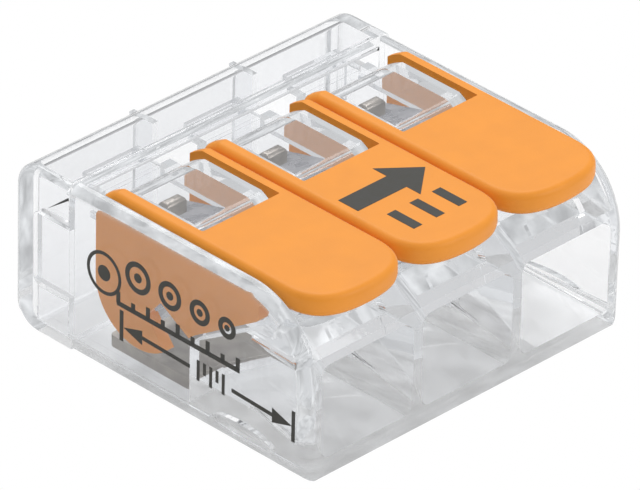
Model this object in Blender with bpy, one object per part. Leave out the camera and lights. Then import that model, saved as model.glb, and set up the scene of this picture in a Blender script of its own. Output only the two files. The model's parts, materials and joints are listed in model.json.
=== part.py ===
# Three-pole lever wire connector, modelled in metres.
# +X runs across the poles, +Y to the back, +Z up; wires enter at the -Y face.
# Origin: middle of the underside.
import math

import bmesh
import bpy
from mathutils import Matrix, Vector
from mathutils.geometry import convex_hull_2d

MM = 0.001

# Overall sizes
HOUSING_WIDTH = 22.9 * MM
HOUSING_DEPTH = 21.1 * MM
TOTAL_HEIGHT = 10.1 * MM
POLES = 3

# Walls and clearances
WALL = 0.65 * MM
FLOOR = 0.75 * MM
GAP = 0.3 * MM
EASE = 0.1 * MM
LEVER_PROUD = 0.3 * MM
EDGE_ROUND = 0.5 * MM
REAR_ROUND = 0.9 * MM

# Wire entries
MOUTH_RIB = 0.7 * MM
MOUTH_FLOOR = 1.1 * MM
MOUTH_HEIGHT = 5.2 * MM
THROAT_WIDTH = 4.2 * MM
THROAT_HEIGHT = 4.3 * MM
FUNNEL_DEPTH = 5.25 * MM
LINTEL = 0.4 * MM

# Front block above and around the entries
FRONT_ARC = 4.5 * MM
STRIP_FOOT_INSET = 0.2 * MM
STRIP_RUN = 1.45 * MM
BLOCK_LAND = 0.7 * MM
BLOCK_STEP = 1.2 * MM
BLOCK_LENGTH = 8.65 * MM
TEST_SLOT_LENGTH = 3.8 * MM
TEST_SLOT_WIDTH = 0.9 * MM
TEST_SLOT_DEPTH = 0.45 * MM

# Rear cover and the snap tongues that hold it
COVER_DEPTH = 3.9 * MM
COVER_RIB = 0.6 * MM
COVER_RIM = 0.6 * MM
TONGUE_LENGTH = 2.3 * MM
TONGUE_HEIGHT = 4.0 * MM
TONGUE_CENTRE = 5.2 * MM
LIP_LENGTH = 1.5 * MM
LIP_THICKNESS = 0.5 * MM

# Levers
PIVOT_FROM_REAR = 8.55 * MM
PIVOT_FROM_TOP = 4.9 * MM
DISC_RADIUS = 3.1 * MM
CHEEK = 0.7 * MM
LEVER_PLATE = 1.3 * MM
WINDOW_FRONT = 3.4 * MM
WINDOW_EDGE = 0.9 * MM
ARM_FLAT = 2.2 * MM
WEB_FRONT = 8.9 * MM
WEB_DROP = 1.3 * MM
WEB_HEEL_OUT = 4.0 * MM
WEB_HEEL_DROP = 0.5 * MM
TIP_ROUND = 2.75 * MM
TIP_FULLNESS = 0.56
NOTCH_REACH = 1.25
NOTCH_OPENS = math.radians(195)
NOTCH_CLOSES = math.radians(230)
LEVER_TRAVEL = math.radians(84)

# Window bridge
DOME_SETBACK = 0.3 * MM
BRIDGE_RECESS = 0.05 * MM
BRIDGE_RIB = 0.45 * MM
BRIDGE_DEPTH = 2.2 * MM

# Current bar and the frame that stands on it at each pole
BAR_THICKNESS = 0.7 * MM
BAR_FRONT = 3.5 * MM
BAR_REAR = 2.4 * MM
FRAME_POST = 0.4 * MM
FRAME_FROM_PIVOT = 1.2 * MM
FRAME_FROM_TOP = 3.35 * MM
FINGER_WIDTH = 1.4 * MM
FINGER_HEIGHT = 1.55 * MM

# Clamping springs
STRIP_THICKNESS = 0.35 * MM
STRIP_WIDTH = 3.2 * MM
BEND_RADIUS = 0.7 * MM
BEND_SIDE = math.radians(136)
BEND_END = math.radians(195)
CONTACT_FLAT = 1.45 * MM
CONTACT_SLOPE = math.radians(15)
CONTACT_PAST_FRAME = 0.5 * MM
LEG_SLOPE = math.radians(50)
LEG_LIFT = math.radians(36)
TAB_FROM_BEND = 1.9 * MM
TAB_LENGTH = 0.6 * MM
TAB_REACH = 0.5 * MM

# Sizes that follow from the ones above
HOUSING_TOP = TOTAL_HEIGHT - LEVER_PROUD
PIVOT_HEIGHT = TOTAL_HEIGHT - PIVOT_FROM_TOP
FRONT = -HOUSING_DEPTH / 2
REAR = HOUSING_DEPTH / 2
SIDE_INNER = HOUSING_WIDTH / 2 - WALL
PITCH = (HOUSING_WIDTH - 2 * WALL - GAP) / POLES
LEVER_WIDTH = PITCH - GAP
CELL_HALF = LEVER_WIDTH / 2 - CHEEK
BRIDGE_HALF = CELL_HALF - GAP
SEAM = REAR - COVER_DEPTH
PIVOT_Y = REAR - PIVOT_FROM_REAR
BAR_TOP = FLOOR + GAP + BAR_THICKNESS
ARM_RADIUS = math.hypot(ARM_FLAT, PIVOT_FROM_TOP)
SWING_RADIUS = ARM_RADIUS + GAP
PLATE_UNDER = TOTAL_HEIGHT - LEVER_PLATE
SWEEP_RADIUS = math.hypot(WINDOW_FRONT, PIVOT_FROM_TOP - WINDOW_EDGE)
SWEEP_ANGLE = math.atan2(PIVOT_FROM_TOP - WINDOW_EDGE, -WINDOW_FRONT)
HUMP_RADIUS = SWEEP_RADIUS - GAP
DOME_RADIUS = HUMP_RADIUS - DOME_SETBACK
BRIDGE_TOP = HOUSING_TOP - BRIDGE_RECESS
SADDLE_TOP = PIVOT_HEIGHT + SWEEP_RADIUS * math.sin(SWEEP_ANGLE - LEVER_TRAVEL) - GAP
BLOCK_REAR = FRONT + BLOCK_LENGTH
MOUTH_TOP = MOUTH_FLOOR + MOUTH_HEIGHT
BLOCK_TOP = PLATE_UNDER - GAP - EASE
FRAME_Y = PIVOT_Y + FRAME_FROM_PIVOT
FRAME_TOP = TOTAL_HEIGHT - FRAME_FROM_TOP
BEND_OUT = BEND_RADIUS + STRIP_THICKNESS / 2
BEND_REACH = DOME_RADIUS - WALL - GAP - BEND_OUT
BEND_Y = PIVOT_Y + BEND_REACH * math.cos(BEND_SIDE)
BEND_Z = PIVOT_HEIGHT + BEND_REACH * math.sin(BEND_SIDE)
THROAT_FLOOR = BAR_TOP + EASE
LIP_TOP = SADDLE_TOP - BRIDGE_RECESS
PAST = 1.0 * MM
TINY = 0.01 * MM


def pole_x(index):
    return (index - (POLES - 1) / 2) * PITCH


def fresh_scene():
    for obj in list(bpy.data.objects):
        bpy.data.objects.remove(obj, do_unlink=True)
    parts = bpy.data.collections.new("lever_wire_connector")
    cutters = bpy.data.collections.new("cutters")
    bpy.context.scene.collection.children.link(parts)
    bpy.context.scene.collection.children.link(cutters)
    return parts, cutters


PARTS, CUTTERS = fresh_scene()


def material(name, colour, roughness, metallic=0.0, alpha=1.0):
    made = bpy.data.materials.new(name)
    made.use_nodes = True
    shader = made.node_tree.nodes["Principled BSDF"]
    shader.inputs["Base Color"].default_value = (*colour, 1.0)
    shader.inputs["Roughness"].default_value = roughness
    shader.inputs["Metallic"].default_value = metallic
    shader.inputs["Alpha"].default_value = alpha
    return made


def add_object(name, mesh, collection):
    obj = bpy.data.objects.new(name, mesh)
    collection.objects.link(obj)
    if collection is CUTTERS:
        obj.hide_render = True
        obj.display_type = "WIRE"
    return obj


def box(name, low, high, collection):
    # A cube from corner to corner.
    mesh = bpy.data.meshes.new(name)
    shape = bmesh.new()
    size = Vector(high) - Vector(low)
    middle = (Vector(high) + Vector(low)) / 2
    bmesh.ops.create_cube(shape, size=1.0, matrix=Matrix.Translation(middle) @ Matrix.Diagonal((*size, 1.0)))
    shape.to_mesh(mesh)
    shape.free()
    return add_object(name, mesh, collection)


def flat_plate(name, outlines, low, high, turn, collection):
    # A filled 2D curve (first outline, then its holes), extruded from low to high along its normal.
    curve = bpy.data.curves.new(name, "CURVE")
    curve.dimensions = "2D"
    curve.fill_mode = "BOTH"
    curve.extrude = (high - low) / 2
    for outline in outlines:
        spline = curve.splines.new("POLY")
        spline.points.add(len(outline) - 1)
        for point, (first, second) in zip(spline.points, outline):
            point.co = (first, second, 0.0, 1.0)
        spline.use_cyclic_u = True
    drawn = bpy.data.objects.new(name + "_drawn", curve)
    collection.objects.link(drawn)
    bpy.context.view_layer.update()
    evaluated = drawn.evaluated_get(bpy.context.evaluated_depsgraph_get())
    mesh = bpy.data.meshes.new_from_object(evaluated)
    bpy.data.objects.remove(drawn, do_unlink=True)
    shape = bmesh.new()
    shape.from_mesh(mesh)
    bmesh.ops.remove_doubles(shape, verts=shape.verts, dist=0.000001)
    bmesh.ops.transform(shape, matrix=turn @ Matrix.Translation((0, 0, (low + high) / 2)), verts=shape.verts)
    bmesh.ops.recalc_face_normals(shape, faces=shape.faces)
    shape.to_mesh(mesh)
    shape.free()
    return add_object(name, mesh, collection)


# A curve drawn in (y, z) and extruded along X, in (x, z) along Y, or in (x, y) along Z.
ALONG_X = Matrix(((0, 0, 1, 0), (1, 0, 0, 0), (0, 1, 0, 0), (0, 0, 0, 1)))
ALONG_Y = Matrix(((1, 0, 0, 0), (0, 0, -1, 0), (0, 1, 0, 0), (0, 0, 0, 1)))
ALONG_Z = Matrix.Identity(4)


def side_plate(name, outline, low, high, collection=CUTTERS):
    return flat_plate(name, [outline], low, high, ALONG_X, collection)


def boolean(target, tool, operation="DIFFERENCE"):
    step = target.modifiers.new(tool.name, "BOOLEAN")
    step.operation = operation
    step.solver = "EXACT"
    step.object = tool


def round_edges(obj, chosen, width, segments=3):
    # Bevels the edges whose two end points both pass the test, once flat faces are whole again.
    shape = bmesh.new()
    shape.from_mesh(obj.data)
    bmesh.ops.dissolve_limit(shape, angle_limit=math.radians(1), verts=shape.verts, edges=shape.edges)
    edges = [edge for edge in shape.edges if chosen(edge.verts[0].co, edge.verts[1].co)]
    bmesh.ops.bevel(shape, geom=edges, offset=width, segments=segments, profile=0.5, affect="EDGES")
    shape.to_mesh(obj.data)
    shape.free()


def arc(centre, radius, start, end, steps):
    # Points on a circle from one angle to the other, in radians, both ends included.
    span = [start + (end - start) * step / steps for step in range(steps + 1)]
    return [(centre[0] + radius * math.cos(angle), centre[1] + radius * math.sin(angle)) for angle in span]


def turned(point, centre, angle):
    offset = Vector(point) - Vector(centre)
    return Vector(centre) + Matrix.Rotation(angle, 2) @ offset


PIVOT = (PIVOT_Y, PIVOT_HEIGHT)
BEND = (BEND_Y, BEND_Z)


def front_profile():
    # The side of the whole connector: flat top, one big arc down to the upright front.
    centre = (FRONT + FRONT_ARC, HOUSING_TOP - FRONT_ARC)
    sweep = arc(centre, FRONT_ARC, math.pi / 2, math.pi, 12)
    return [(SEAM - GAP, HOUSING_TOP)] + sweep + [(FRONT, 0.0), (SEAM - GAP, 0.0)]


def bay_profile():
    # Everything hollow between the side walls: the lever bay in front and the spring cells behind.
    strip_foot = (FRONT + STRIP_FOOT_INSET, MOUTH_TOP + LINTEL)
    strip_head = (strip_foot[0] + STRIP_RUN, BLOCK_TOP)
    land_end = (strip_head[0] + BLOCK_LAND, BLOCK_TOP)
    step_end = (land_end[0] + BLOCK_LAND, BLOCK_TOP - BLOCK_STEP)
    above = HOUSING_TOP + PAST
    return (
        [(FRONT - PAST, strip_foot[1]), strip_foot, strip_head, land_end, step_end]
        + [(BLOCK_REAR, MOUTH_TOP + LINTEL), (BLOCK_REAR, FLOOR), (SEAM + PAST, FLOOR)]
        + [(SEAM + PAST, above), (FRONT - PAST, above)]
    )


def bridge_profile(inset, foot, rear, under):
    # The clear bridge in a lever's window: a front that follows the lever's swing, a flat top, and
    # behind it a dip that takes the lever's plate when the lever stands open.
    top = BRIDGE_TOP - inset - PIVOT_HEIGHT
    saddle = SADDLE_TOP - inset - PIVOT_HEIGHT
    front_radius = DOME_RADIUS - inset
    start = math.pi - math.asin((foot - PIVOT_HEIGHT) / front_radius)
    end = math.pi - math.asin(top / front_radius)
    rear_radius = HUMP_RADIUS - inset
    front = arc(PIVOT, front_radius, start, end, 10)
    dip = arc(PIVOT, rear_radius, math.asin(top / rear_radius), math.asin(saddle / rear_radius), 5)
    return front + dip + [(rear, SADDLE_TOP - inset), (rear, under)]


def make_funnel(index):
    # A rectangular mouth that narrows to the throat, and the straight throat behind it.
    centre = pole_x(index)
    mouth_half = (PITCH - MOUTH_RIB) / 2
    throat_half = THROAT_WIDTH / 2
    throat_top = THROAT_FLOOR + THROAT_HEIGHT
    throat_start = FRONT + FUNNEL_DEPTH
    funnel = box(f"funnel_{index}", (centre - mouth_half, FRONT, MOUTH_FLOOR),
                 (centre + mouth_half, throat_start, MOUTH_TOP), CUTTERS)
    for vertex in funnel.data.vertices:
        if vertex.co.y > throat_start - GAP:
            vertex.co.x = centre + math.copysign(throat_half, vertex.co.x - centre)
            vertex.co.z = throat_top if vertex.co.z > (MOUTH_FLOOR + MOUTH_TOP) / 2 else THROAT_FLOOR
        else:
            vertex.co.y = FRONT - TINY
    throat = box(f"throat_{index}", (centre - throat_half, throat_start - GAP, THROAT_FLOOR),
                 (centre + throat_half, BLOCK_REAR + PAST, throat_top), CUTTERS)
    return funnel, throat


def web_line(height_shift):
    # Lower edge of a lever's web, from its front corner to the heel near the disc.
    front = (PIVOT_Y - WEB_FRONT + GAP, PLATE_UNDER - WEB_DROP + height_shift)
    heel = (PIVOT_Y - WEB_HEEL_OUT, PIVOT_HEIGHT - WEB_HEEL_DROP + height_shift)
    return front, heel


def make_housing(clear):
    housing = side_plate("housing", front_profile(), -HOUSING_WIDTH / 2, HOUSING_WIDTH / 2, PARTS)

    def outer_side(first, second):
        on_side = abs(first.x) > SIDE_INNER and abs(first.x - second.x) < TINY
        return on_side and min(first.y, second.y) < SEAM - GAP - TINY

    round_edges(housing, outer_side, EDGE_ROUND)
    boolean(housing, side_plate("lever_bay", bay_profile(), -SIDE_INNER, SIDE_INNER))

    # Slots for the levers' webs, beside each pole.
    front, heel = web_line(-GAP)
    slope = (heel[1] - front[1]) / (heel[0] - front[0])
    past_rear = (BLOCK_REAR + PAST, heel[1] + slope * (BLOCK_REAR + PAST - heel[0]))
    past_front = (front[0] - 2 * GAP, front[1])
    web_room = [past_front, front, past_rear, (past_rear[0], BLOCK_TOP), (past_front[0], BLOCK_TOP)]
    for index in range(POLES + 1):
        middle = pole_x(index) - PITCH / 2
        beside_bridge = PITCH / 2 - BRIDGE_HALF - BRIDGE_RECESS
        low = max(middle - beside_bridge, -SIDE_INNER)
        high = min(middle + beside_bridge, SIDE_INNER)
        boolean(housing, side_plate(f"web_room_{index}", web_room, low, high))

    # Window bridges, each a shell with a rib down both sides, and the lip that sits under the cover.
    under = BRIDGE_TOP - BRIDGE_DEPTH
    foot = MOUTH_TOP
    rear = SEAM - GAP - BRIDGE_RECESS
    inner_radius = DOME_RADIUS - WALL
    inner_foot = foot - GAP
    for index in range(POLES):
        centre = pole_x(index)
        outer = bridge_profile(0.0, foot, rear, under)
        leg_in = math.pi - math.asin((under - PIVOT_HEIGHT) / inner_radius)
        leg_foot = math.pi - math.asin((foot - PIVOT_HEIGHT) / inner_radius)
        outer += arc(PIVOT, inner_radius, leg_in, leg_foot, 4)
        bridge = side_plate(f"bridge_{index}", outer, centre - BRIDGE_HALF, centre + BRIDGE_HALF)
        boolean(housing, bridge, "UNION")
        hollow = bridge_profile(WALL, inner_foot, rear + PAST, inner_foot)
        rib_in = BRIDGE_HALF - BRIDGE_RIB
        hollow_front = max(BLOCK_REAR + BRIDGE_RECESS, hollow[0][0])
        hollow = [(max(y, hollow_front), z) for y, z in hollow]
        boolean(housing, side_plate(f"bridge_hollow_{index}", hollow, centre - rib_in, centre + rib_in))
        lip = box(f"lip_{index}", (centre - rib_in - BRIDGE_RECESS, rear - WALL, LIP_TOP - LIP_THICKNESS),
                  (centre + rib_in + BRIDGE_RECESS, SEAM + LIP_LENGTH, LIP_TOP), CUTTERS)
        boolean(housing, lip, "UNION")

    # Wire entries and test slots.
    strip_angle = math.atan2(BLOCK_TOP - MOUTH_TOP - LINTEL, STRIP_RUN)
    strip_middle = (FRONT + STRIP_FOOT_INSET + STRIP_RUN / 2, (BLOCK_TOP + MOUTH_TOP + LINTEL) / 2)
    for index in range(POLES):
        for tool in make_funnel(index):
            boolean(housing, tool)
        slot = box(f"test_slot_{index}", (-TEST_SLOT_LENGTH / 2, -TEST_SLOT_WIDTH / 2, -TEST_SLOT_DEPTH),
                   (TEST_SLOT_LENGTH / 2, TEST_SLOT_WIDTH / 2, PAST), CUTTERS)
        slot.location = (pole_x(index), *strip_middle)
        slot.rotation_euler = (strip_angle, 0.0, 0.0)
        boolean(housing, slot)

    # Snap tongues at both sides.
    for side in (-1, 1):
        inner = side * (SIDE_INNER + BRIDGE_RECESS)
        outer = side * (HOUSING_WIDTH / 2 - BRIDGE_RECESS)
        tongue = box(f"tongue_{side}", (min(inner, outer), SEAM - 2 * GAP, TONGUE_CENTRE - TONGUE_HEIGHT / 2),
                     (max(inner, outer), SEAM + TONGUE_LENGTH, TONGUE_CENTRE + TONGUE_HEIGHT / 2), CUTTERS)
        boolean(housing, tongue, "UNION")
    housing.data.materials.append(clear)
    return housing


def make_cover(clear):
    cover = box("rear_cover", (-HOUSING_WIDTH / 2, SEAM, 0.0), (HOUSING_WIDTH / 2, REAR, HOUSING_TOP), PARTS)

    def rear_edge(first, second):
        return min(first.y, second.y) > REAR - TINY

    def side_edge(first, second):
        upright = abs(first.z - second.z) > PAST
        return abs(first.x - second.x) < TINY and abs(first.x) > SIDE_INNER and not upright

    round_edges(cover, rear_edge, REAR_ROUND)
    round_edges(cover, side_edge, EDGE_ROUND)
    hollow = box("cover_hollow", (-SIDE_INNER, SEAM - PAST, WALL), (SIDE_INNER, REAR - WALL, HOUSING_TOP - WALL),
                 CUTTERS)
    boolean(cover, hollow)
    rim = box("cover_rim", (-SIDE_INNER - WALL / 2, SEAM, LIP_TOP + GAP),
              (SIDE_INNER + WALL / 2, SEAM + COVER_RIM, HOUSING_TOP - WALL / 2), CUTTERS)
    boolean(cover, rim, "UNION")
    for index in range(POLES - 1):
        middle = pole_x(index) + PITCH / 2
        rib = box(f"cover_rib_{index}", (middle - COVER_RIB / 2, PIVOT_Y + SWING_RADIUS, WALL / 2),
                  (middle + COVER_RIB / 2, REAR - WALL / 2, HOUSING_TOP - WALL / 2), CUTTERS)
        boolean(cover, rib, "UNION")
    notch = box("tongue_notches", (-HOUSING_WIDTH, SEAM - PAST, TONGUE_CENTRE - TONGUE_HEIGHT / 2 - GAP),
                (HOUSING_WIDTH, SEAM + TONGUE_LENGTH + GAP, TONGUE_CENTRE + TONGUE_HEIGHT / 2 + GAP), CUTTERS)
    boolean(cover, notch)
    cover.data.materials.append(clear)
    return cover


def make_busbar(tinned):
    # One stamping: a strip across all poles, with an upright frame at each.
    half_length = SIDE_INNER - 2 * GAP
    bar = box("busbar", (-half_length, PIVOT_Y - BAR_FRONT, BAR_TOP - BAR_THICKNESS),
              (half_length, PIVOT_Y + BAR_REAR, BAR_TOP), PARTS)
    frame_half = CELL_HALF - GAP - BRIDGE_RECESS
    window_half = frame_half - FRAME_POST
    window_top = FRAME_TOP - BAR_THICKNESS
    foot = BAR_TOP - BAR_THICKNESS / 2
    finger = FINGER_WIDTH / 2
    for index in range(POLES):
        centre = pole_x(index)
        rim = [(-frame_half, foot), (-window_half, foot), (-window_half, window_top), (window_half, window_top)]
        rim += [(window_half, foot), (frame_half, foot), (frame_half, FRAME_TOP), (finger, FRAME_TOP)]
        rim += [(finger, FRAME_TOP + FINGER_HEIGHT), (-finger, FRAME_TOP + FINGER_HEIGHT)]
        rim += [(-finger, FRAME_TOP), (-frame_half, FRAME_TOP)]
        outline = [(centre + x, z) for x, z in rim]
        frame = flat_plate(f"frame_{index}", [outline], -FRAME_Y - BAR_THICKNESS, -FRAME_Y, ALONG_Y, CUTTERS)
        boolean(bar, frame, "UNION")
    bar.data.materials.append(tinned)
    return bar


def strip_outline(points, thickness):
    # The two sides of a bent strip, from its centre line.
    left = []
    right = []
    for index, point in enumerate(points):
        before = Vector(points[max(index - 1, 0)])
        after = Vector(points[min(index + 1, len(points) - 1)])
        along = (after - before).normalized()
        across = Vector((-along.y, along.x)) * thickness / 2
        left.append(tuple(Vector(point) + across))
        right.append(tuple(Vector(point) - across))
    return left + right[::-1]


def leg_point(distance, lift):
    # A point on the clamping leg's centre line, with the leg lifted by an angle about the bend.
    angle = -LEG_SLOPE + lift
    along = Vector((math.cos(angle), math.sin(angle)))
    outward = Vector((math.sin(angle), -math.cos(angle)))
    return Vector(BEND) + outward * BEND_RADIUS + along * distance


def leg_length():
    start = leg_point(0.0, 0.0)
    return (start.y - BAR_TOP - GAP - STRIP_THICKNESS / 2) / math.sin(LEG_SLOPE)


def make_spring(index, steel):
    # The half of the spring that stays still: the front bend and the leg that hangs on the frame.
    centre = pole_x(index)
    bend = arc(BEND, BEND_RADIUS, BEND_END, math.pi / 2, 12)
    flat_end = (BEND_Y + CONTACT_FLAT, BEND_Z + BEND_RADIUS)
    end_y = FRAME_Y + BAR_THICKNESS + CONTACT_PAST_FRAME
    end = (end_y, flat_end[1] - (end_y - flat_end[0]) * math.tan(CONTACT_SLOPE))
    outline = strip_outline(bend + [flat_end, end], STRIP_THICKNESS)
    spring = side_plate(f"clamping_spring_{index + 1}", outline, centre - STRIP_WIDTH / 2,
                        centre + STRIP_WIDTH / 2, PARTS)
    half = FINGER_WIDTH / 2 + GAP
    hole = box(f"finger_hole_{index}", (centre - half, FRAME_Y - GAP, FRAME_TOP),
               (centre + half, FRAME_Y + BAR_THICKNESS + GAP / 2, HOUSING_TOP), CUTTERS)
    boolean(spring, hole)
    spring.data.materials.append(steel)
    return spring


def make_leg(index, steel):
    # The half that moves: the clamping leg, with a tab to each side for the lever.
    centre = pole_x(index)
    outline = strip_outline([leg_point(0.0, 0.0), leg_point(leg_length(), 0.0)], STRIP_THICKNESS)
    leg = side_plate(f"clamping_leg_{index + 1}", outline, centre - STRIP_WIDTH / 2, centre + STRIP_WIDTH / 2,
                     PARTS)
    ends = [leg_point(TAB_FROM_BEND, 0.0), leg_point(TAB_FROM_BEND + TAB_LENGTH, 0.0)]
    reach = CELL_HALF + TAB_REACH
    tab = side_plate(f"tab_{index}", strip_outline(ends, STRIP_THICKNESS * 0.98), centre - reach, centre + reach)
    boolean(leg, tab, "UNION")
    leg.data.materials.append(steel)
    set_origin(leg, (centre, BEND_Y, BEND_Z))
    return leg


def notch_profile():
    # The V-shaped notch in a lever's discs: where the spring's tab goes as the lever turns, and its way out.
    steps = 12
    corners = []
    for step in range(steps + 1):
        share = step / steps
        ends = [leg_point(TAB_FROM_BEND - GAP, LEG_LIFT * share)]
        ends.append(leg_point(TAB_FROM_BEND + TAB_LENGTH + GAP, LEG_LIFT * share))
        for corner in strip_outline(ends, STRIP_THICKNESS + 2 * GAP):
            corners.append(turned(corner, PIVOT, LEVER_TRAVEL * share))
    for angle in (NOTCH_OPENS, NOTCH_CLOSES):
        corners.append(Vector(PIVOT) + DISC_RADIUS * NOTCH_REACH * Vector((math.cos(angle), math.sin(angle))))
    return [tuple(corners[place]) for place in convex_hull_2d(corners)]


def lever_side():
    # Plate, arms, web and disc in one side view.
    front, heel = web_line(0.0)
    reach = math.dist(heel, PIVOT)
    tangent = math.acos(DISC_RADIUS / reach)
    heel_angle = math.atan2(heel[1] - PIVOT_HEIGHT, heel[0] - PIVOT_Y) % (2 * math.pi)
    disc = arc(PIVOT, DISC_RADIUS, heel_angle + tangent, 2 * math.pi, 14)
    hook_low = math.acos(DISC_RADIUS / ARM_RADIUS)
    hook_high = math.atan2(TOTAL_HEIGHT - PIVOT_HEIGHT, ARM_FLAT)
    hook = arc(PIVOT, ARM_RADIUS, hook_low, hook_high, 5)
    return (
        [(FRONT, TOTAL_HEIGHT), (FRONT, PLATE_UNDER), (front[0] - GAP, PLATE_UNDER)]
        + [(front[0] - GAP, front[1] + GAP), front, heel]
        + disc
        + hook
    )


def tip_profile():
    # What is trimmed off the lever's tip, seen from above, to leave its rounded end.
    half = LEVER_WIDTH / 2
    past = half + PAST
    start = (half + BRIDGE_RECESS, FRONT + TIP_ROUND)
    handles = ((half, FRONT + TIP_ROUND / 5), (half * TIP_FULLNESS, FRONT - TINY))
    end = (0.0, FRONT - TINY)
    curve = []
    for step in range(11):
        along = step / 10
        weights = [(1 - along) ** 3, 3 * along * (1 - along) ** 2, 3 * along ** 2 * (1 - along), along ** 3]
        points = (start, *handles, end)
        curve.append(tuple(sum(w * p[axis] for w, p in zip(weights, points)) for axis in (0, 1)))
    mirrored = [(-x, y) for x, y in curve[-2::-1]]
    return [(past, FRONT + TIP_ROUND)] + curve + mirrored + [(-past, FRONT + TIP_ROUND)] + [
        (-past, FRONT - PAST), (past, FRONT - PAST)]


def make_lever(index, plastic):
    centre = pole_x(index)
    half = LEVER_WIDTH / 2
    lever = side_plate(f"lever_{index + 1}", lever_side(), centre - half, centre + half, PARTS)
    window = PIVOT_Y - WINDOW_FRONT
    under_angle = math.pi - math.asin((PIVOT_FROM_TOP - LEVER_PLATE) / SWEEP_RADIUS)
    undercut = arc(PIVOT, SWEEP_RADIUS, under_angle, SWEEP_ANGLE, 3)
    inside = [(FRONT - PAST, PLATE_UNDER)] + undercut + [(window, TOTAL_HEIGHT + PAST)]
    inside += [(REAR, TOTAL_HEIGHT + PAST), (REAR, -PAST), (FRONT - PAST, -PAST)]
    boolean(lever, side_plate(f"lever_inside_{index}", inside, centre - CELL_HALF, centre + CELL_HALF))
    boolean(lever, side_plate(f"notch_{index}", notch_profile(), centre - PITCH, centre + PITCH))
    outline = [(centre + x, y) for x, y in tip_profile()]
    tip = flat_plate(f"tip_{index}", [outline], PLATE_UNDER - PAST, TOTAL_HEIGHT + PAST, ALONG_Z, CUTTERS)
    boolean(lever, tip)
    lever.data.materials.append(plastic)
    set_origin(lever, (centre, PIVOT_Y, PIVOT_HEIGHT))
    return lever


def set_origin(obj, place):
    # Puts the object's origin on its joint axis and leaves its surface where it is.
    obj.data.transform(Matrix.Translation(-Vector(place)))
    obj.location = place


def build():
    clear = material("clear_polycarbonate", (0.86, 0.9, 0.93), 0.08, alpha=0.35)
    orange = material("orange_plastic", (0.92, 0.4, 0.08), 0.42)
    steel = material("spring_steel", (0.62, 0.61, 0.58), 0.28, metallic=1.0)
    tinned = material("tinned_copper", (0.72, 0.7, 0.66), 0.32, metallic=1.0)
    make_housing(clear)
    make_cover(clear)
    make_busbar(tinned)
    for index in range(POLES):
        make_lever(index, orange)
        make_spring(index, steel)
        make_leg(index, steel)


build()
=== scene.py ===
import json
import math

import bmesh
import bpy
from mathutils import Matrix, Vector


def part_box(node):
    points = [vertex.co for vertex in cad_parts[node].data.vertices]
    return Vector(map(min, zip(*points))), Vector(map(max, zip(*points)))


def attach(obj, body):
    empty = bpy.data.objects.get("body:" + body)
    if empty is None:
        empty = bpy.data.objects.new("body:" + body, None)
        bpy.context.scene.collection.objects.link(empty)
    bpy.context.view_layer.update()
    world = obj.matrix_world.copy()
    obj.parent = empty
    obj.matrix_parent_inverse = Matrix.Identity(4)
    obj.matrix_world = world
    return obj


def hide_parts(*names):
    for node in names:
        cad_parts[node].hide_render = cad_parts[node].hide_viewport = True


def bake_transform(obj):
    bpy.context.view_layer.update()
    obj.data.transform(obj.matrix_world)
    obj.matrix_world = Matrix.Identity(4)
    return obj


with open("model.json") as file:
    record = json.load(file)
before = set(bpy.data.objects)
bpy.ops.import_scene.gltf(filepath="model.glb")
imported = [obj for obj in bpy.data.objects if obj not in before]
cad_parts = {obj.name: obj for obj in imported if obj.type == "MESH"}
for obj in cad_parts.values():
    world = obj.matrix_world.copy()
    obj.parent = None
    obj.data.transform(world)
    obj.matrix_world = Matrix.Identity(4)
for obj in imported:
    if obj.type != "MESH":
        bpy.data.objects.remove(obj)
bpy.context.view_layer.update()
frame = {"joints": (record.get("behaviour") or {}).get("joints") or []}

mm = 0.001


def boxInMm(node):
    low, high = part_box(node)
    return low / mm, high / mm


# Places that come from the frame, in millimetres.
housingLow, housingHigh = boxInMm("housing")
coverHigh = boxInMm("rear_cover")[1]
barLow, barHigh = boxInMm("busbar")
leverLow, leverHigh = boxInMm("lever_1")
hinges = [joint for joint in frame["joints"] if joint["name"].startswith("lever_hinge")]
legJoint = [joint for joint in frame["joints"] if joint["name"].startswith("spring_leg")][0]
poles = [joint["pos_m"][0] / mm for joint in hinges]
pitch = poles[1] - poles[0]
pivot = Vector((hinges[0]["pos_m"][1], hinges[0]["pos_m"][2])) / mm
bend = Vector((legJoint["pos_m"][1], legJoint["pos_m"][2])) / mm
front = housingLow.y
inkDepth = 0.02
sideOut = housingHigh.x - inkDepth
sideIn = housingHigh.x - 0.8
topOfHousing = housingHigh.z
past = 1.0  # how far a cutter reaches beyond what it cuts


# Modelling helpers.
def deselectAll():
    if bpy.context.mode != "OBJECT":
        bpy.ops.object.mode_set(mode="OBJECT")
    bpy.ops.object.select_all(action="DESELECT")


def makeActive(obj):
    deselectAll()
    obj.select_set(True)
    bpy.context.view_layer.objects.active = obj


def arcPoints(centre, radius, start, end, steps):
    # Points round a centre between two angles in degrees.
    angles = [math.radians(start + (end - start) * step / steps) for step in range(steps + 1)]
    return [(centre[0] + radius * math.cos(a), centre[1] + radius * math.sin(a)) for a in angles]


def onPlane(plane, first, second, depth):
    # side: (y, z) seen along X; face: (x, z) seen along Y; plan: (x, y) seen from above.
    if plane == "side":
        return Vector((depth, first, second)) * mm
    if plane == "face":
        return Vector((first, depth, second)) * mm
    return Vector((first, second, depth)) * mm


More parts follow.
